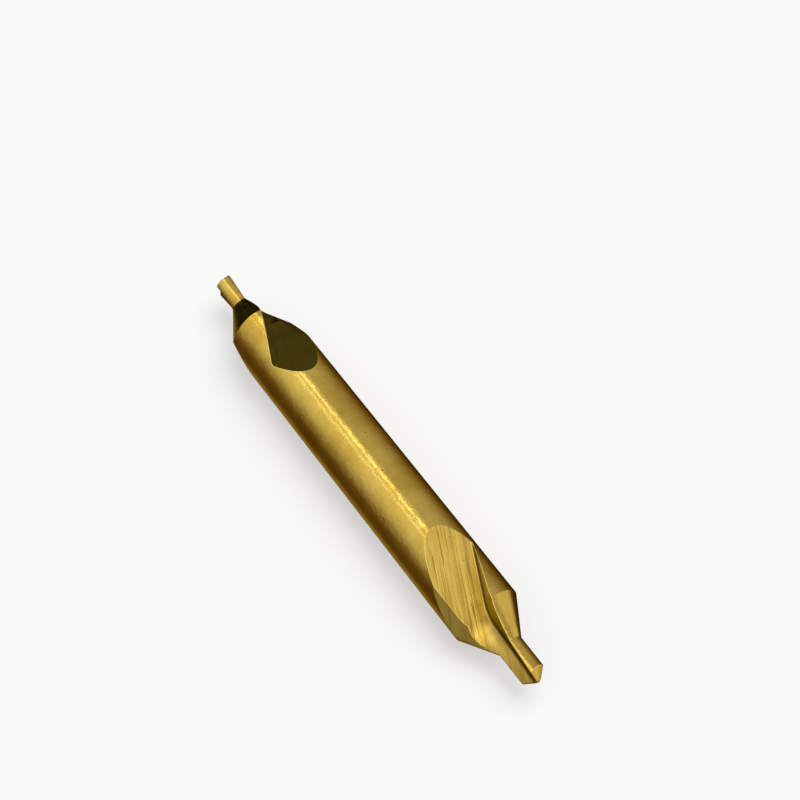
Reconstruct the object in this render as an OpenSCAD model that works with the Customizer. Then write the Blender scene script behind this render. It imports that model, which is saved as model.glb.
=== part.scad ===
// Double-ended centre drill, turned and ground from one bar.
// The tool axis lies along X, the middle of the shank is at the origin and +Z is up.

/* [Shank] */
// Length over both points
overall_length = 50; // [44:0.5:60]
// Diameter of the plain shank
shank_diameter = 6.3; // [5.8:0.1:7.2]

/* [Pilot and countersink] */
// Diameter of the pilot
pilot_diameter = 2.5; // [2:0.05:3.15]
// Length of the pilot, from the point to the foot of the countersink
pilot_length = 3.85; // [3.2:0.05:5]
// Included angle of the countersink
countersink_angle = 60; // [55:1:75]
// Included angle of the point
point_angle = 118; // [105:1:135]
// Angle from a lip to the chisel edge, seen on the point
chisel_angle = 121; // [112:1:130]

/* [Flutes] */
// Length of a flute, from the point to the end of its runout
flute_length = 15.3; // [14.5:0.1:17]
// Angle to the axis at which the flute floor climbs out of the shank
runout_slope = 19.8; // [18:0.2:23]
// Angle to the axis of the runout, seen square to its floor
runout_skew = 22; // [16:0.5:25]
// Half length of the bend between the runout and the web
runout_bend = 1; // [0.5:0.1:1.6]
// Thickness of the web between the two flute floors
web_thickness = 0.4; // [0.3:0.02:0.7]
// Turn of the flute from the foot of its runout to the point
flute_twist = 19; // [10:1:26]
// Fall of the floor towards the heel at the point, from square to the cutting face
floor_fall = 25; // [12:1:30]
// How far the cutting face lies past the axis at the foot of the runout
face_undercut = 0.05; // [0:0.01:0.15]
// How far the cutting face stands ahead of the axis at the point
lip_lead = 0.12; // [0.06:0.02:0.24]
// Corner radius between floor and cutting face along the runout
runout_corner = 0.2; // [0.1:0.05:0.4]
// Corner radius between floor and cutting face at the point
point_corner = 0.6; // [0.3:0.05:0.8]

/* [Relief] */
// Clearance angle of the flanks of the point
flank_clearance = 7; // [4:0.5:12]
// How far the countersink and pilot fall back behind their margins
land_relief = 0.12; // [0.05:0.01:0.2]
// Angle of the margin behind the cutting edge
margin_angle = 20; // [10:1:30]
// Distance from the point at which the heel of a land starts to fall away
heel_length = 11.8; // [10.5:0.1:13]
// Angle to the axis at which the heel falls away
heel_slope = 20.6; // [20:0.2:24]
// Turn of the heel flat from the flute floor
heel_turn = 36; // [30:1:42]
// Distance from the axis at which the heel flat levels out
heel_level = 0.6; // [0.45:0.05:0.9]

/* [Ends] */
// Turn of the front flutes about the axis
front_turn = -5; // [-180:1:180]
// Turn of the rear flutes about the axis
rear_turn = 9; // [-180:1:180]

/* [Hidden] */
$fn = 96;
lands = 2;
// Overlap of every cutter past the faces that it opens
over = 1;
// Least overlap that keeps two neighbouring cutters from leaving a film
seam = 0.01;
// Steps along the bend and the twist of a flute, across its sides and round its corner
bend_steps = 6;
twist_steps = 18;
wall_steps = 3;
floor_steps = 6;
corner_steps = 6;

shank_radius = shank_diameter / 2;
pilot_radius = pilot_diameter / 2;
web_half = web_thickness / 2;
// Reach of a cutter from the axis
reach = shank_radius + over;
// Heights along the axis, from the middle of the shank
tip = overall_length / 2;
pilot_foot = tip - pilot_length;
countersink_top = pilot_foot - (shank_radius - pilot_radius) / tan(countersink_angle / 2);
runout_top = tip - flute_length;
runout_foot = runout_top + (shank_radius - web_half) / tan(runout_slope);
twist_length = tip - runout_foot;
heel_top = tip - heel_length;
heel_foot = heel_top + (shank_radius - heel_level) / tan(heel_slope);
// Directions round the axis, as the floor of the runout faces 90 degrees
floor_direction = 90;
lip_direction = floor_direction + flute_twist;
chisel_direction = lip_direction + 180 - chisel_angle;
margin_direction = floor_direction - margin_angle;
// Split between the two lands, which lies in the flutes just ahead of the lips
split_direction = lip_direction + 15;
// Fall of the point to either side of its chisel edge
chisel_fall = 12;

// Outline of the blank, as radius and height
blank_outline = [
    [0, -tip],
    [pilot_radius, -tip],
    [pilot_radius, -pilot_foot],
    [shank_radius, -countersink_top],
    [shank_radius, countersink_top],
    [pilot_radius, pilot_foot],
    [pilot_radius, tip],
    [0, tip]
];

function at(radius, direction) = radius * [cos(direction), sin(direction)];

// Climb of the runout at a distance above its foot, eased through the bend
function climb(above) =
    above > runout_bend ? above :
    above < -runout_bend ? 0 :
    pow(above + runout_bend, 2) / (4 * runout_bend);

// Section of a flute: cutting face, rounded corner, falling floor and the open side
function flute_section(face, level, corner, fall, turn, height) =
    let (
        centre = [face - corner, (level + corner + sin(fall) * (face - corner)) / cos(fall)],
        wall = [for (i = [wall_steps : -1 : 1])
            [face, centre.y + (reach - centre.y) * i / wall_steps]],
        arc = [for (i = [0 : corner_steps]) centre + at(corner, (fall - 90) * i / corner_steps)],
        floor_start = arc[corner_steps],
        floor_width = (floor_start.x + reach) / cos(fall),
        floor = [for (i = [1 : floor_steps]) floor_start - at(floor_width, fall) * i / floor_steps],
        top = 2 * reach,
        outline = concat([[face, top]], wall, arc, floor, [[-reach, top]])
    )
    [for (p = outline) concat(at(p.x, turn) + at(p.y, turn + 90), height)];

// Section of a flute at a distance above the foot of its runout
function section_above(above) =
    let (
        share = max(0, -above) / twist_length,
        rise = climb(above)
    )
    flute_section(
        face_undercut + rise * tan(runout_skew) - share * (face_undercut + lip_lead),
        web_half + rise * tan(runout_slope),
        runout_corner + share * (point_corner - runout_corner),
        floor_fall * (1 - pow(1 - min(share, 1), 3)),
        share * flute_twist,
        runout_foot - above);

// Solid through a row of sections that all have the same number of points
module through(sections) {
    rows = len(sections);
    n = len(sections[0]);
    sides = [for (i = [0 : rows - 2], j = [0 : n - 1]) each [
        [i * n + j, (i + 1) * n + (j + 1) % n, (i + 1) * n + j],
        [i * n + j, i * n + (j + 1) % n, (i + 1) * n + (j + 1) % n]
    ]];
    foot = [[for (j = [n - 1 : -1 : 0]) j]];
    head = [[for (j = [0 : n - 1]) (rows - 1) * n + j]];
    polyhedron(points = [for (s = sections) each s], faces = concat(foot, sides, head));
}

// Cutter of one flute, from above its runout to past the point
module flute() {
    start = runout_foot - runout_top + over;
    end = -twist_length - over;
    bend = [for (i = [0 : bend_steps]) runout_bend * (1 - 2 * i / bend_steps)];
    twist = [for (i = [1 : twist_steps]) -runout_bend + (end + runout_bend) * i / twist_steps];
    through([for (above = concat(start, bend, twist)) section_above(above)]);
}

// Cutter of the flat that takes down the heel of a land behind its flute
module heel_flat() {
    start = heel_top - over / tan(heel_slope);
    inner_side = pilot_radius / 2;
    rotate(floor_direction + heel_turn)
        translate([0, inner_side + reach, 0])
            rotate([90, 0, 0])
                linear_extrude(reach)
                    polygon([
                        [shank_radius + over, start],
                        [heel_level, heel_foot],
                        [heel_level, tip + over],
                        [reach, tip + over],
                        [reach, start]
                    ]);
}

// Block over one half of an end, on the side of the given direction
module half_block(direction, foot) {
    rotate(direction)
        translate([-seam, -reach, foot])
            cube([seam + reach, 2 * reach, tip + over - foot]);
}

// Cutter behind the margin of one land, round an axis shifted towards the cutting edge
module land_back() {
    foot = countersink_top - over / tan(countersink_angle / 2);
    difference() {
        half_block(split_direction - 90, foot);
        translate(at(land_relief, margin_direction + 90))
            rotate_extrude()
                polygon([
                    [0, foot - over],
                    [shank_radius + over, foot - over],
                    [shank_radius + over, foot],
                    [pilot_radius, pilot_foot],
                    [pilot_radius, tip + 2 * over],
                    [0, tip + 2 * over]
                ]);
    }
}

// Cutter over one flank of the point, a cone tipped back behind its lip
module flank() {
    spread = tan(point_angle / 2);
    apex = tip + web_half / spread;
    foot = tip - reach / spread;
    difference() {
        half_block(split_direction - 90, foot);
        translate([0, 0, apex])
            rotate(a = flank_clearance, v = concat(at(1, lip_direction), 0))
                translate([0, 0, -2 * reach])
                    cylinder(h = 2 * reach, r1 = 2 * reach * spread, r2 = 0);
    }
}

// Cutter over the web at the point, which leaves the chisel edge
module chisel() {
    side = tip - reach * tan(chisel_fall);
    rotate(chisel_direction)
        rotate([90, 0, 90])
            translate([0, 0, -reach])
                linear_extrude(2 * reach)
                    polygon([[0, tip], [reach, side], [reach, tip + over], [-reach, tip + over], [-reach, side]]);
}

// Everything that is ground away at one end, with the point up
module end_grinding() {
    for (i = [0 : lands - 1])
        rotate(i * 360 / lands) {
            flute();
            heel_flat();
            land_back();
            flank();
        }
    chisel();
}

module centre_drill() {
    color("goldenrod")
        rotate([90, 0, 90])
            difference() {
                rotate_extrude() polygon(blank_outline);
                rotate(front_turn) end_grinding();
                rotate([0, 180, 0]) rotate(rear_turn) end_grinding();
            }
}

centre_drill();
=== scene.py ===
"""Looks of a double-ended centre drill: the ground and coated drill, its floor, lights and camera.

The drill is turned and cut from the same sizes as the solid that it stands for, with finer steps. The tool
axis lies along X, the middle of the shank is at the origin and +Z is up. Lengths are in metres.
"""

from math import cos, pi, radians, sin, tan
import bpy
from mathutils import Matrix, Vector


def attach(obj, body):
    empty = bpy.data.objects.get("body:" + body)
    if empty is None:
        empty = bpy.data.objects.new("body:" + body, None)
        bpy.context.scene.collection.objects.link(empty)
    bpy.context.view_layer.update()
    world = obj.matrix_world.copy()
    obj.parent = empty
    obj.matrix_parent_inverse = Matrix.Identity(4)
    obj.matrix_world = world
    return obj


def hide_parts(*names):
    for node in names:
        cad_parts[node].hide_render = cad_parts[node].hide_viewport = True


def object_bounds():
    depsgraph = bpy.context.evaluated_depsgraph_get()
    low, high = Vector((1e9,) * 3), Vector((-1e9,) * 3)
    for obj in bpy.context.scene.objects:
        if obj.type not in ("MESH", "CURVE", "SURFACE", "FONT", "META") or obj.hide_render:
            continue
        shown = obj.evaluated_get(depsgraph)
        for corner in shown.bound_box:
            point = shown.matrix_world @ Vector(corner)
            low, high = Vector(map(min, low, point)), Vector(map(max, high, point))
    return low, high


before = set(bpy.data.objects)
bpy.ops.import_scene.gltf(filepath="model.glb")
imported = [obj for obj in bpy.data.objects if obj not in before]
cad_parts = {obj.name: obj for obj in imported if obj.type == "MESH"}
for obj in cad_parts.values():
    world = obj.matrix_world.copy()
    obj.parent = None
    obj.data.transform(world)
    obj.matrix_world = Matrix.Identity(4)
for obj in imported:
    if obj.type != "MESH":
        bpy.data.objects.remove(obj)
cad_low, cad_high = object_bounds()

from types import SimpleNamespace

import bmesh
import bpy
from bpy.props import FloatProperty, FloatVectorProperty, PointerProperty
from mathutils import Matrix, Vector

bl_info = {
    "name": "Centre drill",
    "version": (1, 0, 0),
    "blender": (4, 5, 0),
    "location": "View3D > Sidebar > Centre drill",
    "description": "Makes a coated centre drill and the studio that it lies in",
    "category": "Add Mesh",
}

NODE = "centre_drill"
LANDS = 2
# Overlap of a cutting form past the faces that it opens, and the least overlap of two neighbours
OVER = 0.001
SEAM = 0.00001
# Distance under which two points are one
MERGE = 1e-8
# Angle from a lip to the split between the two lands, which lies in the flute just ahead of it
SPLIT_LEAD = radians(15)
# Steps round a turned form, along the bend and the twist of a flute, across its sides and round its corner
TURN_STEPS = 128
BEND_STEPS = 24
TWIST_STEPS = 120
WALL_STEPS = 6
FLOOR_STEPS = 28
CORNER_STEPS = 14
# Largest bends that are shaded smoothly, within one finish and between two
SMOOTH_WITHIN = radians(15)
SMOOTH_BETWEEN = radians(8)
# Size of the grinding lines along the three axes of a finish
SHANK_LINES = (0.00035, 0.02, 0.02)
LAND_LINES = (0.0002, 0.02, 0.02)
FLUTE_LINES = (0.00022, 0.004, 0.007)
# Weight of the grinding lines, from turned faces to the coarsely ground front flutes
TURNED_WEIGHT = 0.12
SMOOTH_WEIGHT = 0.4
COARSE_WEIGHT = 3.2
# Weight of the ripples on the shank, on the lands and on ground faces
SHANK_RIPPLES = 1.0
LAND_RIPPLES = 0.4
GROUND_RIPPLES = 0.3
# Share that the grinding lines have in the tone of the coating
LINE_TONE = 0.4
# How much streaks, scratches and pits cover, and how bright the deep coating is in them
STREAK_COVER = 0.55
SCRATCH_COVER = 0.75
PIT_COVER = 0.6
STREAK_BRIGHTNESS = 0.6
PIT_BRIGHTNESS = 0.35
# Roughness added along the broken edges, under the painted highlight
EDGE_ROUGHNESS = 0.15
# Share of the glancing colour that is left in the flutes
FLUTE_GLANCE = 0.6
# Distances over which the painted shade of a flute fades in its recess, about its foot and about its neck
RECESS_FADE = (0.001, 0.0002)
FOOT_FADE = (-0.0012, 0.001)
NECK_FADE = (-0.001, 0.0015)
# Distances from the cutting face over which the lines of a flute come up
LINE_FADE = (0.0002, 0.0013)
# Half width of the floor, and radius of the tent
FLOOR_HALF = 1.5
TENT_RADIUS = 0.6
# Share of a stripe of light that is fully bright
STRIPE_CORE = 0.6
# Where the lamp shines from, and the angle that it spans
LAMP_PLACE = Vector((0.02, 0.13, 0.4))
LAMP_SPREAD = radians(45)
# Width of the camera's film in millimetres, and the nearest that it sees
FILM_WIDTH = 36
NEAREST = 0.005
WHITE = (1, 1, 1, 1)


def length(name, description, default):
    """A length that the user can change."""
    return FloatProperty(name=name, description=description, default=default, unit="LENGTH", precision=5)


def angle(name, description, degrees):
    """An angle that the user can change, given in degrees and kept in radians."""
    return FloatProperty(name=name, description=description, default=radians(degrees), subtype="ANGLE")


def share(name, description, default):
    """A share from nought to one."""
    return FloatProperty(
        name=name, description=description, default=default, min=0, max=1, subtype="FACTOR")


def colour(name, description, default):
    """A colour as linear red, green and blue."""
    return FloatVectorProperty(
        name=name, description=description, default=default, size=3, min=0, max=1, subtype="COLOR")


def strength(name, description, default):
    """A strength of light."""
    return FloatProperty(name=name, description=description, default=default, min=0)


def location(name, description, default):
    """A place in the scene."""
    return FloatVectorProperty(
        name=name, description=description, default=default, subtype="TRANSLATION", precision=5)


class DrillSizes(bpy.types.PropertyGroup):
    """Sizes of the drill."""

    overall_length: length("Overall length", "Length over both points", cad_high.x - cad_low.x)
    shank_diameter: length("Shank diameter", "Diameter of the plain shank", cad_high.z - cad_low.z)
    pilot_diameter: length("Pilot diameter", "Diameter of the pilot", 0.0025)
    pilot_length: length("Pilot length", "From the point to the foot of the countersink", 0.00385)
    countersink_angle: angle("Countersink angle", "Included angle of the countersink", 60)
    point_angle: angle("Point angle", "Included angle of the point", 118)
    chisel_angle: angle("Chisel angle", "Angle from a lip to the chisel edge", 121)
    chisel_fall: angle("Chisel fall", "Fall of the point to either side of its chisel edge", 12)
    flute_length: length("Flute length", "From the point to the end of the runout", 0.0153)
    runout_slope: angle("Runout slope", "Angle at which the flute floor climbs out of the shank", 19.8)
    runout_skew: angle("Runout skew", "Angle of the runout to the axis, seen square to its floor", 22)
    runout_bend: length("Runout bend", "Half length of the bend between the runout and the web", 0.001)
    web_thickness: length("Web thickness", "Between the two flute floors", 0.0004)
    flute_twist: angle("Flute twist", "Turn of the flute from the foot of its runout to the point", 19)
    floor_fall: angle("Floor fall", "Fall of the floor towards the heel at the point", 25)
    face_undercut: length("Face undercut", "Cutting face past the axis at the foot of the runout", 0.00005)
    lip_lead: length("Lip lead", "Cutting face ahead of the axis at the point", 0.00012)
    runout_corner: length("Runout corner", "Radius between floor and cutting face on the runout", 0.0002)
    point_corner: length("Point corner", "Radius between floor and cutting face at the point", 0.0006)
    flank_clearance: angle("Flank clearance", "Clearance angle of the flanks of the point", 7)
    land_relief: length("Land relief", "Fall of the countersink and pilot behind their margins", 0.00012)
    margin_angle: angle("Margin angle", "Margin behind the cutting edge", 20)
    heel_length: length("Heel length", "From the point to where the heel starts to fall away", 0.0118)
    heel_slope: angle("Heel slope", "Angle at which the heel falls away", 20.6)
    heel_turn: angle("Heel turn", "Turn of the heel flat from the flute floor", 36)
    heel_level: length("Heel level", "Distance from the axis at which the heel flat levels out", 0.0006)
    front_turn: angle("Front turn", "Turn of the front flutes about the axis", -5)
    rear_turn: angle("Rear turn", "Turn of the rear flutes about the axis", 9)


class DrillFinish(bpy.types.PropertyGroup):
    """Colour and surface of the coating."""

    coating: colour("Coating", "Colour of the nitride coating", (0.88, 0.605, 0.122))
    deep_coating: colour("Deep coating", "Coating where it is thicker", (0.74, 0.46, 0.07))
    glancing: colour("Glancing", "Colour of the coating at a glancing angle", (0.95, 0.75, 0.34))
    # Painted shade: a dark brown painted on the cutting faces and in the recesses of the flutes, where shade
    # falls
    painted_shade: colour("Painted shade", "Coating on the cutting faces", (0.19, 0.135, 0.033))
    # Painted reflection: the paler colour that the flutes show in their own reflections
    mirrored: colour("Mirrored", "Flute as its own faces mirror it", (1.0, 0.9, 0.62))
    # Painted highlight: a pale gold painted along the broken edges
    edge_highlight: colour("Edge highlight", "Coating on the broken edges", (1.0, 0.77, 0.27))
    edge_break: length("Edge break", "Width of the broken edges to either side", 0.00013)
    roughness: share("Roughness", "Roughness of turned and finely ground faces", 0.09)
    ground_roughness: share("Ground roughness", "Roughness of coarsely ground faces", 0.22)
    line_depth: length("Line depth", "Depth of the grinding lines", 0.000012)
    ripple_depth: length("Ripple depth", "Depth of the slow ripples of the shank", 0.000042)
    pit_depth: length("Pit depth", "Depth of the pits in the coating", 0.00001)


class DrillStudio(bpy.types.PropertyGroup):
    """Floor, light and camera."""

    floor_colour: colour("Floor colour", "Colour of the floor", (0.48, 0.48, 0.475))
    floor_glow: strength("Floor glow", "Light that the floor shows to the camera", 0.5)
    key_power: strength("Key power", "Strength of the main lamp", 1.5)
    fill_strength: strength("Fill strength", "Strength of the light from all sides", 0.5)
    camera_place: location("Camera place", "Where the camera stands", (0.07049, -0.03736, 0.13273))
    camera_aim: location("Camera aim", "Point at the middle of the picture", (-0.00408, 0.006165, 0))
    camera_roll: angle("Camera roll", "Turn of the picture about its middle", -4.6377)
    camera_lens: FloatProperty(
        name="Lens", description="Focal length in millimetres", default=79.448, unit="CAMERA")


def plan(sizes):
    """The sizes that follow from the chosen ones, and directions round the axis."""
    p = SimpleNamespace()
    p.tip = sizes.overall_length / 2
    p.shank = sizes.shank_diameter / 2
    p.pilot = sizes.pilot_diameter / 2
    p.web = sizes.web_thickness / 2
    p.reach = p.shank + OVER
    p.pilot_foot = p.tip - sizes.pilot_length
    p.countersink_top = p.pilot_foot - (p.shank - p.pilot) / tan(sizes.countersink_angle / 2)
    p.runout_top = p.tip - sizes.flute_length
    p.runout_foot = p.runout_top + (p.shank - p.web) / tan(sizes.runout_slope)
    p.twist_length = p.tip - p.runout_foot
    p.heel_top = p.tip - sizes.heel_length
    p.heel_foot = p.heel_top + (p.shank - sizes.heel_level) / tan(sizes.heel_slope)
    p.floor_direction = pi / 2
    p.lip_direction = p.floor_direction + sizes.flute_twist
    p.chisel_direction = p.lip_direction + pi - sizes.chisel_angle
    p.margin_direction = p.floor_direction - sizes.margin_angle
    p.split_direction = p.lip_direction + SPLIT_LEAD
    return p


def at(radius, direction):
    """Point in a section, at a radius and a direction round the axis."""
    return Vector((radius * cos(direction), radius * sin(direction)))


def turn(direction):
    """Turn about the tool axis of an end, which points along Z."""
    return Matrix.Rotation(direction, 4, "Z")


def ends(sizes):
    """Places of the front and the rear end, each from an end with its point up."""
    lay = Matrix(((0, 0, 1, 0), (1, 0, 0, 0), (0, 1, 0, 0), (0, 0, 0, 1)))
    flip = Matrix.Rotation(pi, 4, "Y")
    return {"front": lay @ turn(sizes.front_turn), "rear": lay @ flip @ turn(sizes.rear_turn)}


def mesh_piece(name, bm, place, material):
    """Ends a bmesh as an object whose place is in its mesh."""
    bmesh.ops.transform(bm, matrix=place, verts=bm.verts)
    bmesh.ops.recalc_face_normals(bm, faces=bm.faces)
    mesh = bpy.data.meshes.new(name)
    bm.to_mesh(mesh)
    bm.free()
    mesh.materials.append(material)
    piece = bpy.data.objects.new(name, mesh)
    bpy.context.scene.collection.objects.link(piece)
    return piece


def turned(outline):
    """Closed form of revolution about Z through an outline of radius and height pairs."""
    bm = bmesh.new()
    verts = [bm.verts.new((radius, 0, height)) for radius, height in outline]
    edges = [bm.edges.new(pair) for pair in zip(verts, verts[1:])]
    bmesh.ops.spin(
        bm, geom=verts + edges, axis=(0, 0, 1), cent=(0, 0, 0), angle=2 * pi, steps=TURN_STEPS, use_merge=True)
    bmesh.ops.remove_doubles(bm, verts=bm.verts, dist=MERGE)
    return bm


def extruded(outline, direction):
    """Flat outline drawn out along a direction."""
    bm = bmesh.new()
    face = bm.faces.new([bm.verts.new(point) for point in outline])
    made = bmesh.ops.extrude_face_region(bm, geom=[face])["geom"]
    bmesh.ops.translate(bm, vec=direction, verts=[v for v in made if isinstance(v, bmesh.types.BMVert)])
    return bm


def half_block(p, direction, foot):
    """Block over one half of an end, on the side of the given direction."""
    bm = bmesh.new()
    size = Vector((SEAM + p.reach, 2 * p.reach, p.tip + OVER - foot))
    middle = Vector(((p.reach - SEAM) / 2, 0, foot + size.z / 2))
    place = turn(direction) @ Matrix.Translation(middle) @ Matrix.Diagonal(size).to_4x4()
    bmesh.ops.create_cube(bm, size=1, matrix=place)
    return bm


def flute_section(sizes, p, above):
    """Section of a flute at a distance above the foot of its runout."""
    bend = sizes.runout_bend
    rise = above if above > bend else 0 if above < -bend else (above + bend) ** 2 / (4 * bend)
    way = max(0, -above) / p.twist_length
    face = sizes.face_undercut + rise * tan(sizes.runout_skew)
    face -= way * (sizes.face_undercut + sizes.lip_lead)
    level = p.web + rise * tan(sizes.runout_slope)
    corner = sizes.runout_corner + way * (sizes.point_corner - sizes.runout_corner)
    fall = sizes.floor_fall * (1 - (1 - min(way, 1)) ** 3)
    centre = Vector((face - corner, (level + corner + sin(fall) * (face - corner)) / cos(fall)))
    height = p.reach - centre.y
    wall = [Vector((face, centre.y + height * i / WALL_STEPS)) for i in range(WALL_STEPS, 0, -1)]
    arc = [centre + at(corner, (fall - pi / 2) * i / CORNER_STEPS) for i in range(CORNER_STEPS + 1)]
    width = (arc[-1].x + p.reach) / cos(fall)
    floor = [arc[-1] - at(width, fall) * i / FLOOR_STEPS for i in range(1, FLOOR_STEPS + 1)]
    top = 2 * p.reach
    outline = [Vector((face, top)), *wall, *arc, *floor, Vector((-p.reach, top))]
    turned_by = turn(way * sizes.flute_twist)
    return [turned_by @ Vector((q.x, q.y, p.runout_foot - above)) for q in outline]


def flute_form(sizes, p):
    """What a flute takes away, drawn out section by section from above its runout to past the point."""
    bend = sizes.runout_bend
    end = -p.twist_length - OVER
    stations = [p.runout_foot - p.runout_top + OVER]
    stations += [bend * (1 - 2 * i / BEND_STEPS) for i in range(BEND_STEPS + 1)]
    stations += [-bend + (end + bend) * i / TWIST_STEPS for i in range(1, TWIST_STEPS + 1)]
    bm = bmesh.new()
    ring = [bm.verts.new(point) for point in flute_section(sizes, p, stations[0])]
    loop = [bm.edges.new((a, b)) for a, b in zip(ring, ring[1:] + ring[:1])]
    bmesh.ops.contextual_create(bm, geom=loop)
    for station in stations[1:]:
        made = bmesh.ops.extrude_edge_only(bm, edges=loop)["geom"]
        copies = {v.co.copy().freeze(): v for v in made if isinstance(v, bmesh.types.BMVert)}
        ring = [copies[v.co.copy().freeze()] for v in ring]
        for vert, point in zip(ring, flute_section(sizes, p, station)):
            vert.co = point
        loop = [bm.edges.get((a, b)) for a, b in zip(ring, ring[1:] + ring[:1])]
    bmesh.ops.contextual_create(bm, geom=loop)
    return bm


def heel_form(sizes, p):
    """What the flat takes off the heel of a land behind its flute."""
    start = p.heel_top - OVER / tan(sizes.heel_slope)
    outline = [
        (p.shank + OVER, start),
        (sizes.heel_level, p.heel_foot),
        (sizes.heel_level, p.tip + OVER),
        (p.reach, p.tip + OVER),
        (p.reach, start),
    ]
    bm = extruded([(x, p.pilot / 2, z) for x, z in outline], (0, p.reach, 0))
    bmesh.ops.transform(bm, matrix=turn(p.floor_direction + sizes.heel_turn), verts=bm.verts)
    return bm


def margin_form(sizes, p, foot):
    """What stays of the countersink and pilot behind a margin, round an axis shifted to the cutting edge."""
    bm = turned([
        (0, foot - OVER),
        (p.shank + OVER, foot - OVER),
        (p.shank + OVER, foot),
        (p.pilot, p.pilot_foot),
        (p.pilot, p.tip + 2 * OVER),
        (0, p.tip + 2 * OVER),
    ])
    shift = at(sizes.land_relief, p.margin_direction + pi / 2)
    bmesh.ops.translate(bm, vec=shift.to_3d(), verts=bm.verts)
    return bm


def flank_form(sizes, p):
    """What stays of the point under one flank, a cone tipped back behind its lip."""
    spread = tan(sizes.point_angle / 2)
    height = 2 * p.reach
    bm = turned([(0, 0), (height * spread, -height), (0, -height)])
    tipped = Matrix.Rotation(sizes.flank_clearance, 4, at(1, p.lip_direction).to_3d())
    apex = Matrix.Translation((0, 0, p.tip + p.web / spread))
    bmesh.ops.transform(bm, matrix=apex @ tipped, verts=bm.verts)
    return bm


def chisel_form(sizes, p):
    """What is taken off the web at the point to leave the chisel edge."""
    side = p.tip - p.reach * tan(sizes.chisel_fall)
    high = p.tip + OVER
    outline = [(0, p.tip), (p.reach, side), (p.reach, high), (-p.reach, high), (-p.reach, side)]
    bm = extruded([(-p.reach, y, z) for y, z in outline], (2 * p.reach, 0, 0))
    bmesh.ops.transform(bm, matrix=turn(p.chisel_direction), verts=bm.verts)
    return bm


def cut(body, tool):
    """Takes the tool's form out of the body, and puts the tool's finish on the faces that it leaves."""
    carve = body.modifiers.new("Cut", "BOOLEAN")
    carve.operation = "DIFFERENCE"
    carve.solver = "MANIFOLD"
    carve.material_mode = "TRANSFER"
    carve.object = tool
    graph = bpy.context.evaluated_depsgraph_get()
    whole, used = body.data, tool.data
    body.data = bpy.data.meshes.new_from_object(body.evaluated_get(graph))
    body.modifiers.clear()
    bpy.data.objects.remove(tool)
    bpy.data.meshes.remove(whole)
    bpy.data.meshes.remove(used)


def group(name, inputs, outputs):
    """Empty shader node group with the named inputs and outputs, each with its kind of socket."""
    tree = bpy.data.node_groups.new(name, "ShaderNodeTree")
    for way, sockets in (("INPUT", inputs), ("OUTPUT", outputs)):
        for socket, kind in sockets.items():
            tree.interface.new_socket(socket, in_out=way, socket_type=f"NodeSocket{kind}")
    return tree, tree.nodes.new("NodeGroupInput").outputs, tree.nodes.new("NodeGroupOutput").inputs


def node(tree, kind, links=None, **settings):
    """New node with its settings and its sockets, which take a value or another node's output."""
    made = tree.nodes.new(kind)
    for name, value in settings.items():
        setattr(made, name, value)
    for name, value in (links or {}).items():
        socket = made.inputs[name]
        if isinstance(value, bpy.types.NodeSocket):
            tree.links.new(value, socket)
        else:
            socket.default_value = value
    return made


def noise(tree, vector, scale, detail=3.0, roughness=0.5):
    """Value of a noise texture over a vector."""
    sockets = {"Vector": vector, "Scale": scale, "Detail": detail, "Roughness": roughness}
    return node(tree, "ShaderNodeTexNoise", sockets).outputs["Fac"]


def ramp(tree, value, low, high, to_low=0.0, to_high=1.0):
    """Value eased from one range to another."""
    sockets = {"Value": value, "From Min": low, "From Max": high, "To Min": to_low, "To Max": to_high}
    return node(tree, "ShaderNodeMapRange", sockets, interpolation_type="SMOOTHSTEP").outputs["Result"]


def arithmetic(tree, operation, first, second):
    """Sum, product or other result of two values."""
    return node(tree, "ShaderNodeMath", {0: first, 1: second}, operation=operation).outputs[0]


def total(tree, *values):
    """Sum of values."""
    result = values[0]
    for value in values[1:]:
        result = arithmetic(tree, "ADD", result, value)
    return result


def product(tree, *values):
    """Product of values."""
    result = values[0]
    for value in values[1:]:
        result = arithmetic(tree, "MULTIPLY", result, value)
    return result


def dot(tree, first, second):
    """How far two directions agree, or how far a place lies along a direction."""
    return node(tree, "ShaderNodeVectorMath", {0: first, 1: second}, operation="DOT_PRODUCT").outputs["Value"]


def blend(tree, factor, first, second):
    """Mix of two colours."""
    mix = node(tree, "ShaderNodeMix", data_type="RGBA")
    for socket, value in zip((mix.inputs[0], mix.inputs[6], mix.inputs[7]), (factor, first, second)):
        if isinstance(value, bpy.types.NodeSocket):
            tree.links.new(value, socket)
        else:
            socket.default_value = value
    return mix.outputs[2]


def placed(tree, inner, links):
    """Outputs of a node group that is placed in a material with its own values."""
    return node(tree, "ShaderNodeGroup", links, node_tree=inner).outputs


def grinding_group():
    """Lines that a grinding wheel leaves: coarse to fine lines, and single deep scratches.

    One unit across is about a line's width.
    """
    tree, given, out = group("Grinding lines", {"Vector": "Vector"}, {"Lines": "Float", "Scratches": "Float"})
    vector = given["Vector"]
    layers = ((0.28, 1.0, 0.5), (0.7, 2.0, 0.3), (1.8, 2.0, 0.2))
    lines = [product(tree, noise(tree, vector, scale, detail), amount) for scale, detail, amount in layers]
    tree.links.new(total(tree, *lines), out["Lines"])
    tree.links.new(ramp(tree, noise(tree, vector, 1.1, 1.0), 0.6, 0.69), out["Scratches"])
    return tree


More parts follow.
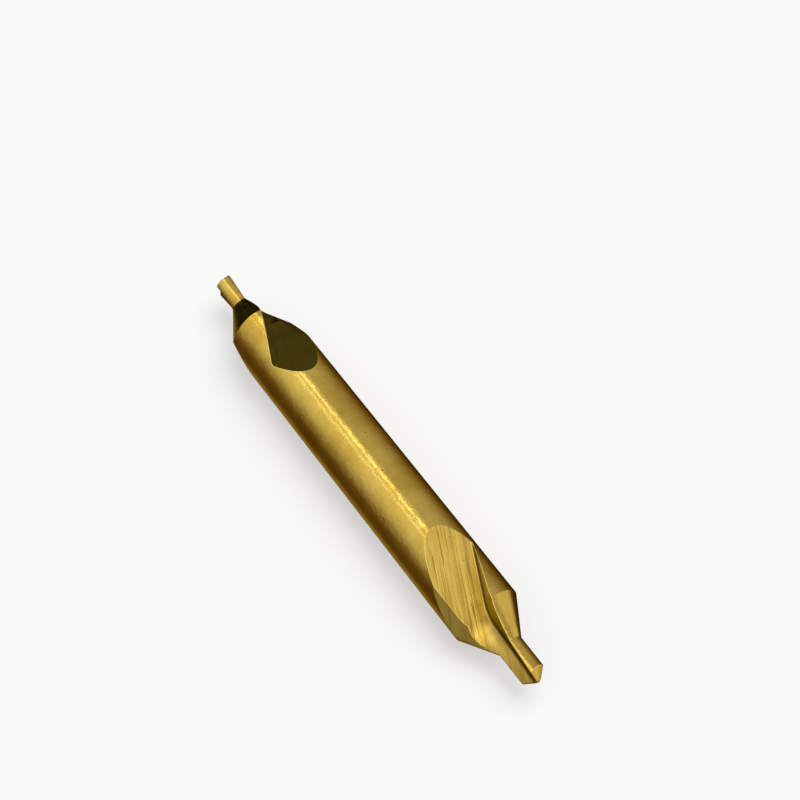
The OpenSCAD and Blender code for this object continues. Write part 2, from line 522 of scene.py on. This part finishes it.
def coating_group():
    """Unevenness of the coating over the drill: slow tone, ripples and sparse pits."""
    masks = {"Tone": "Float", "Ripples": "Float", "Pits": "Float"}
    tree, given, out = group("Coating", {"Vector": "Vector"}, masks)
    vector = given["Vector"]
    tree.links.new(noise(tree, vector, 260, 4.0, 0.55), out["Tone"])
    tree.links.new(noise(tree, vector, 1200, 3.0, 0.65), out["Ripples"])
    cells = node(tree, "ShaderNodeTexVoronoi", {"Vector": vector, "Scale": 900.0}, feature="F1").outputs
    spots = ramp(tree, cells["Distance"], 0.06, 0.13, 1.0, 0.0)
    chosen = ramp(tree, cells["Color"], 0.72, 0.76)
    tree.links.new(product(tree, spots, chosen), out["Pits"])
    return tree


def edge_group():
    """Broken edges: the normal that rounds them, and a mask of where a highlight is painted on them."""
    tree, given, out = group("Edge rounding and highlight", {"Radius": "Float"}, {"Normal": "Vector", "Highlight": "Float"})
    broken = node(tree, "ShaderNodeBevel", {"Radius": given["Radius"]}, samples=8).outputs["Normal"]
    plain = node(tree, "ShaderNodeNewGeometry").outputs["Normal"]
    tree.links.new(broken, out["Normal"])
    tree.links.new(ramp(tree, dot(tree, broken, plain), 0.998, 0.93), out["Highlight"])
    return tree


def flute_group():
    """Masks of a flute: the painted shade on its cutting face and in its recess, and where its lines are clear.

    The corner is the direction that the cutting face looks in. The foot and the neck are the distances from the
    middle of the drill at which the runout and the countersink end. The skew is the slant of the cutting face
    along the runout.
    """
    inputs = {"Place": "Vector", "Corner": "Vector", "Foot": "Float", "Neck": "Float", "Skew": "Float"}
    tree, given, out = group("Flute", inputs, {"Painted shade": "Float", "Clear": "Float"})
    facing = dot(tree, node(tree, "ShaderNodeNewGeometry").outputs["True Normal"], given["Corner"])
    inward = dot(tree, given["Place"], given["Corner"])
    axes = node(tree, "ShaderNodeSeparateXYZ", {"Vector": given["Place"]}).outputs
    along = arithmetic(tree, "ABSOLUTE", axes["X"], 0.0)
    past_foot = arithmetic(tree, "SUBTRACT", along, given["Foot"])
    past_neck = arithmetic(tree, "SUBTRACT", along, given["Neck"])

    # Painted shade: the cutting face and the recess beside it are darkened where shade falls, fading out past
    # the neck
    turned_floor = ramp(tree, along, given["Foot"], given["Neck"], 0.0, 0.35)
    face_shade = ramp(tree, arithmetic(tree, "SUBTRACT", facing, turned_floor), 0.0, 0.45)
    recess_shade = product(tree, ramp(tree, inward, *RECESS_FADE), ramp(tree, past_foot, *FOOT_FADE, 0.0, 0.7))
    painted_shade_mask = arithmetic(tree, "MAXIMUM", face_shade, recess_shade)
    tree.links.new(product(tree, painted_shade_mask, ramp(tree, past_neck, *NECK_FADE, 0.95, 0.15)), out["Painted shade"])

    slant = product(tree, arithmetic(tree, "MINIMUM", past_foot, 0.0), given["Skew"])
    from_face = arithmetic(tree, "SUBTRACT", inward, slant)
    open_floor = ramp(tree, from_face, *LINE_FADE, 0.3, 1.0)
    tree.links.new(product(tree, ramp(tree, facing, 0.35, 0.75, 1.0, 0.1), open_floor), out["Clear"])
    return tree


def coated(name, finish, groups, basis, spread, roughness, lines, ripples, flute=None):
    """Coated steel with grinding lines, as wide and as long along the axes of the basis as the spread says.

    A highlight is painted along the edges. With the values of a flute, painted shade darkens its cutting face
    and its recess, its lines fade there, and it is painted paler where its own faces mirror it.
    """
    material = bpy.data.materials.new(name)
    material.use_nodes = True
    tree = material.node_tree
    shader = tree.nodes["Principled BSDF"].inputs
    place = node(tree, "ShaderNodeTexCoord").outputs["Object"]
    lay = {"Vector": place, "Rotation": basis.to_euler(), "Scale": spread}
    laid = node(tree, "ShaderNodeMapping", lay, vector_type="TEXTURE").outputs["Vector"]
    grinding = placed(tree, groups["grinding"], {"Vector": laid})
    coat = placed(tree, groups["coating"], {"Vector": place})
    edge = placed(tree, groups["edge"], {"Radius": finish.edge_break})

    weight = min(1.0, lines)
    scratches = product(tree, grinding["Scratches"], weight)
    line_tone = LINE_TONE * weight
    tone = product(tree, coat["Tone"], 1 - line_tone)
    tone = total(tree, tone, product(tree, grinding["Lines"], line_tone))
    deep = Vector(finish.deep_coating)
    gold = blend(tree, ramp(tree, tone, 0.3, 0.6), (*deep, 1), (*finish.coating, 1))
    for mask, brightness in (
        (ramp(tree, grinding["Lines"], 0.54, 0.4, 0.0, STREAK_COVER * weight), STREAK_BRIGHTNESS),
        (product(tree, scratches, SCRATCH_COVER), STREAK_BRIGHTNESS),
        (product(tree, coat["Pits"], PIT_COVER), PIT_BRIGHTNESS),
    ):
        gold = blend(tree, mask, gold, (*deep * brightness, 1))
    glancing = Vector(finish.glancing)
    clear = 1.0
    if flute:
        masks = placed(tree, groups["flute"], {"Place": place, **flute})
        # Painted shade on the cutting face and in the recess of the flute
        gold = blend(tree, masks["Painted shade"], gold, (*finish.painted_shade, 1))
        # Painted reflection: where its own faces mirror it, the flute is painted paler and without its painted
        # shade
        twice = node(tree, "ShaderNodeLightPath").outputs["Is Glossy Ray"]
        gold = blend(tree, twice, gold, (*finish.mirrored, 1))
        glancing *= FLUTE_GLANCE
        clear = masks["Clear"]
    # Painted highlight along the broken edges
    gold = blend(tree, edge["Highlight"], gold, (*finish.edge_highlight, 1))
    gloss = ramp(tree, tone, 0.3, 0.7, roughness + 0.05, roughness - 0.03)
    tree.links.new(gold, shader["Base Color"])
    tree.links.new(total(tree, gloss, product(tree, edge["Highlight"], EDGE_ROUGHNESS)), shader["Roughness"])
    shader["Metallic"].default_value = 1.0
    shader["Specular Tint"].default_value = (*glancing, 1)

    normal = edge["Normal"]
    for height, depth, sunk in (
        (coat["Ripples"], finish.ripple_depth * ripples, False),
        (grinding["Lines"], finish.line_depth * lines, False),
        (scratches, finish.line_depth * weight, True),
        (coat["Pits"], finish.pit_depth, True),
    ):
        relief = {"Strength": clear, "Distance": depth, "Height": height, "Normal": normal}
        normal = node(tree, "ShaderNodeBump", relief, invert=sunk).outputs["Normal"]
    tree.links.new(normal, shader["Normal"])
    return material


def flute_basis(sizes):
    """Axes of a flute's grinding lines: across its floor, square to its floor, and along its runout."""
    along = Vector((tan(sizes.runout_skew), tan(sizes.runout_slope), -1)).normalized()
    square = Vector((0, 1, tan(sizes.runout_slope))).normalized()
    across = square.cross(along)
    return Matrix((across, square, along)).transposed()


def shade(piece):
    """Shades the ground and turned faces smoothly, and keeps the edges between them."""
    bm = bmesh.new()
    bm.from_mesh(piece.data)
    bmesh.ops.recalc_face_normals(bm, faces=bm.faces)
    for face in bm.faces:
        face.smooth = True
    for edge in bm.edges:
        one_finish = len({face.material_index for face in edge.link_faces}) == 1
        edge.smooth = edge.calc_face_angle(0) < (SMOOTH_WITHIN if one_finish else SMOOTH_BETWEEN)
    bm.to_mesh(piece.data)
    bm.free()
    weighted = piece.modifiers.new("Shading", "WEIGHTED_NORMAL")
    weighted.mode = "FACE_AREA"
    weighted.keep_sharp = True


class DRILL_OT_body(bpy.types.Operator):
    """Makes the drill: a turned bar, cut by its flutes, heels, reliefs and points at both ends"""

    bl_idname = "drill.body"
    bl_label = "Make drill"

    def execute(self, context):
        sizes, finish = context.scene.drill_sizes, context.scene.drill_finish
        p = plan(sizes)
        groups = {
            "grinding": grinding_group(),
            "coating": coating_group(),
            "edge": edge_group(),
            "flute": flute_group(),
        }
        rings = Matrix.Identity(3)
        shank = coated("shank_coating", finish, groups, rings, SHANK_LINES,
                       finish.roughness, TURNED_WEIGHT, SHANK_RIPPLES)
        land = coated("land_coating", finish, groups, rings, LAND_LINES,
                      finish.roughness, TURNED_WEIGHT, LAND_RIPPLES)
        flutes = {"front": (finish.ground_roughness, COARSE_WEIGHT), "rear": (finish.roughness, SMOOTH_WEIGHT)}
        outline = [
            (0, -p.tip), (p.pilot, -p.tip), (p.pilot, -p.pilot_foot), (p.shank, -p.countersink_top),
            (p.shank, p.countersink_top), (p.pilot, p.pilot_foot), (p.pilot, p.tip), (0, p.tip),
        ]
        places = ends(sizes)
        lay = places["front"] @ turn(-sizes.front_turn)
        drill = mesh_piece("drill", turned(outline), lay, shank)
        relief_foot = p.countersink_top - OVER / tan(sizes.countersink_angle / 2)
        flank_foot = p.tip - p.reach / tan(sizes.point_angle / 2)
        half = p.split_direction - pi / 2
        for end, place in places.items():
            for i in range(LANDS):
                side = place @ turn(i * 2 * pi / LANDS)
                basis = side.to_3x3() @ flute_basis(sizes)
                face = {
                    "Corner": -(side @ turn(sizes.flute_twist / 2)).col[0].to_3d(),
                    "Foot": p.runout_foot,
                    "Neck": p.pilot_foot,
                    "Skew": tan(sizes.runout_skew),
                }
                ground = coated(f"{end}_flute_coating_{i + 1}", finish, groups, basis, FLUTE_LINES,
                                *flutes[end], GROUND_RIPPLES, flute=face)
                flat = coated(f"{end}_flute_heel_coating_{i + 1}", finish, groups, basis, FLUTE_LINES,
                              finish.ground_roughness, SMOOTH_WEIGHT, GROUND_RIPPLES)
                relief = mesh_piece("relief", half_block(p, half, relief_foot), side, land)
                cut(relief, mesh_piece("margin", margin_form(sizes, p, relief_foot), side, land))
                cut(drill, relief)
                flank = mesh_piece("flank", half_block(p, half, flank_foot), side, land)
                cut(flank, mesh_piece("point", flank_form(sizes, p), side, land))
                cut(drill, flank)
                cut(drill, mesh_piece("heel", heel_form(sizes, p), side, flat))
                cut(drill, mesh_piece("flute", flute_form(sizes, p), side, ground))
            cut(drill, mesh_piece("chisel", chisel_form(sizes, p), place, land))
        shade(drill)
        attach(drill, "root")
        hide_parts(NODE)
        return {"FINISHED"}


def glow(name, light):
    """Material that only shines, with its strength and colour made by the given function."""
    material = bpy.data.materials.new(name)
    material.use_nodes = True
    tree = material.node_tree
    tree.nodes.clear()
    out = tree.nodes.new("ShaderNodeOutputMaterial")
    shine = tree.nodes.new("ShaderNodeEmission")
    tree.links.new(shine.outputs[0], out.inputs["Surface"])
    light(tree, shine.inputs)
    material.cycles.emission_sampling = "NONE"
    return material


def seen_rays(tree):
    """One for rays from the camera, from a reflection or through glass, and nought for the rest."""
    path = node(tree, "ShaderNodeLightPath").outputs
    mirrored = arithmetic(tree, "MAXIMUM", path["Is Glossy Ray"], path["Is Transmission Ray"])
    return arithmetic(tree, "MAXIMUM", path["Is Camera Ray"], mirrored)


def only_in_reflections(piece):
    """The piece shows only in the gloss of the drill."""
    piece.visible_camera = False
    piece.visible_diffuse = False
    piece.visible_shadow = False
    piece.visible_volume_scatter = False
    piece.visible_transmission = False


def patch(tree, way, toward, edge, core, amount):
    """Round patch of the tent about a direction, from nought at its edge to the amount at its core."""
    nearness = dot(tree, way, Vector(toward).normalized())
    return ramp(tree, nearness, cos(radians(edge)), cos(radians(core)), 0.0, amount)


def stripe(tree, lean, middle, half_width, amount):
    """Narrow stripe of light along the drill, at a lean in degrees from straight up."""
    off = arithmetic(tree, "ABSOLUTE", arithmetic(tree, "SUBTRACT", lean, radians(middle)), 0.0)
    return ramp(tree, off, radians(half_width * STRIPE_CORE), radians(half_width), amount, 0.0)


def tent_light(tree, shine):
    """Light of the tent by direction: a bright panel overhead and stripes along the drill, dim and warm below.

    The lean is the angle about the tool axis from straight up, and X tells the two ends of the tent apart.
    """
    place = node(tree, "ShaderNodeTexCoord").outputs["Object"]
    way = node(tree, "ShaderNodeVectorMath", {0: place}, operation="NORMALIZE").outputs["Vector"]
    axes = node(tree, "ShaderNodeSeparateXYZ", {"Vector": way}).outputs
    end = axes["X"]
    lean = arithmetic(tree, "ARCTAN2", axes["Y"], axes["Z"])

    right = ramp(tree, lean, radians(25), radians(150), 0.5, 0.03)
    left = total(tree, ramp(tree, lean, radians(-118), radians(-25), 0.09, 0.5),
                 ramp(tree, lean, radians(-165), radians(-130), 0.18, 0.0))
    room = product(tree, arithmetic(tree, "MINIMUM", left, right), ramp(tree, end, -0.4, 0.3, 1.0, 0.7))

    panel_edge = ramp(tree, end, -0.45, 0.3, radians(13), radians(27))
    softness = ramp(tree, end, -0.45, 0.3, radians(4), radians(13))
    past_edge = arithmetic(tree, "DIVIDE", arithmetic(tree, "SUBTRACT", lean, panel_edge), softness)
    panel = product(tree, ramp(tree, past_edge, -1.0, 1.0, 1.0, 0.0),
                    ramp(tree, lean, radians(-100), radians(-15)), ramp(tree, end, -0.4, 0.3, 0.32, 0.62))

    glow_right = patch(tree, way, (0.4, 0.9, 0.2), 40, 12, 0.42)
    glow_front = patch(tree, way, (1.0, 0.05, 0.0), 45, 15, 0.55)
    glow_low = patch(tree, way, (0.7, 0.55, -0.4), 45, 15, 0.5)
    broad = arithmetic(tree, "MINIMUM", total(tree, room, panel, glow_right, glow_front, glow_low), 1.1)
    stripes = total(tree, stripe(tree, lean, 3, 3.2, 1.1), stripe(tree, lean, -13, 3, 0.5))
    across = product(tree, total(tree, broad, stripes), ramp(tree, end, 0.72, 0.95, 1.0, 0.65))

    dark = arithmetic(tree, "MAXIMUM", patch(tree, way, (-0.9, 0.39, 0.2), 31, 20, 0.83),
                      patch(tree, way, (-0.95, 0.15, -0.2), 34, 20, 0.88))
    far = arithmetic(tree, "SUBTRACT", 1.0, dark)
    lee = arithmetic(tree, "SUBTRACT", 1.0, patch(tree, way, (0.3, -0.62, 0.72), 32, 18, 0.62))
    tree.links.new(product(tree, across, far, lee), shine["Strength"])
    low = blend(tree, ramp(tree, across, 0.08, 0.4), (1, 0.68, 0.24, 1), WHITE)
    tree.links.new(blend(tree, far, (0.92, 1, 0.6, 1), low), shine["Color"])


class DRILL_OT_studio(bpy.types.Operator):
    """Makes the floor, the light and the camera"""

    bl_idname = "drill.studio"
    bl_label = "Make studio"

    def execute(self, context):
        scene, look = context.scene, context.scene.drill_studio
        paper = bpy.data.materials.new("floor_paper")
        paper.use_nodes = True
        tree = paper.node_tree
        surface = tree.nodes["Principled BSDF"].inputs
        surface["Base Color"].default_value = (*look.floor_colour, 1)
        surface["Roughness"].default_value = 0.9
        surface["Specular IOR Level"].default_value = 0.1
        surface["Emission Color"].default_value = WHITE
        floor_light = ramp(tree, seen_rays(tree), 0.0, 1.0, 0.0, look.floor_glow)
        tree.links.new(floor_light, surface["Emission Strength"])
        bm = bmesh.new()
        bmesh.ops.create_grid(bm, x_segments=1, y_segments=1, size=FLOOR_HALF)
        floor = mesh_piece("floor", bm, Matrix.Translation((0, 0, cad_low.z)), paper)
        floor.visible_glossy = False

        bm = bmesh.new()
        bmesh.ops.create_uvsphere(bm, u_segments=64, v_segments=32, radius=TENT_RADIUS)
        tent = mesh_piece("light_tent", bm, Matrix.Identity(4), glow("tent_cloth", tent_light))
        only_in_reflections(tent)

        lamp = bpy.data.lights.new("key_lamp", "SUN")
        lamp.angle = LAMP_SPREAD
        lamp.energy = look.key_power
        key = bpy.data.objects.new("key_lamp", lamp)
        key.location = LAMP_PLACE
        key.rotation_euler = (-LAMP_PLACE).to_track_quat("-Z", "Y").to_euler()
        key.visible_glossy = False
        scene.collection.objects.link(key)

        world = bpy.data.worlds.new("studio")
        world.use_nodes = True
        scene.world = world
        tree = world.node_tree
        air = tree.nodes["Background"].inputs
        air["Color"].default_value = WHITE
        tree.links.new(ramp(tree, seen_rays(tree), 0.0, 1.0, look.fill_strength, 1.0), air["Strength"])

        lens = bpy.data.cameras.new("camera")
        lens.lens = look.camera_lens
        lens.sensor_width = FILM_WIDTH
        lens.clip_start = NEAREST
        camera = bpy.data.objects.new("camera", lens)
        place, aim = Vector(look.camera_place), Vector(look.camera_aim)
        ahead = (aim - place).normalized()
        level = ahead.cross(Vector((0, 0, 1))).normalized()
        right = Matrix.Rotation(-look.camera_roll, 3, ahead) @ level
        facing = Matrix((right, right.cross(ahead), -ahead)).transposed().to_4x4()
        camera.matrix_world = Matrix.Translation(place) @ facing
        scene.collection.objects.link(camera)
        scene.camera = camera
        scene.view_settings.view_transform = "Standard"
        return {"FINISHED"}


class DRILL_PT_panel(bpy.types.Panel):
    """Lists the sizes, the finish and the steps"""

    bl_idname = "DRILL_PT_panel"
    bl_label = "Centre drill"
    bl_space_type = "VIEW_3D"
    bl_region_type = "UI"
    bl_category = "Centre drill"

    def draw(self, context):
        layout = self.layout
        for settings, operator in (
            ("drill_sizes", None),
            ("drill_finish", "drill.body"),
            ("drill_studio", "drill.studio"),
        ):
            box = layout.box()
            values = getattr(context.scene, settings)
            for name in values.__annotations__:
                box.prop(values, name)
            if operator:
                box.operator(operator)


CLASSES = (DrillSizes, DrillFinish, DrillStudio, DRILL_OT_body, DRILL_OT_studio, DRILL_PT_panel)


def register():
    """Registers the classes and the scene's settings."""
    for cls in CLASSES:
        bpy.utils.register_class(cls)
    bpy.types.Scene.drill_sizes = PointerProperty(type=DrillSizes)
    bpy.types.Scene.drill_finish = PointerProperty(type=DrillFinish)
    bpy.types.Scene.drill_studio = PointerProperty(type=DrillStudio)


def unregister():
    """Takes the settings and the classes away again."""
    for name in ("drill_sizes", "drill_finish", "drill_studio"):
        delattr(bpy.types.Scene, name)
    for cls in reversed(CLASSES):
        bpy.utils.unregister_class(cls)


def main():
    """Makes the drill and its studio."""
    register()
    bpy.ops.drill.body()
    bpy.ops.drill.studio()


if __name__ == "__main__":
    main()
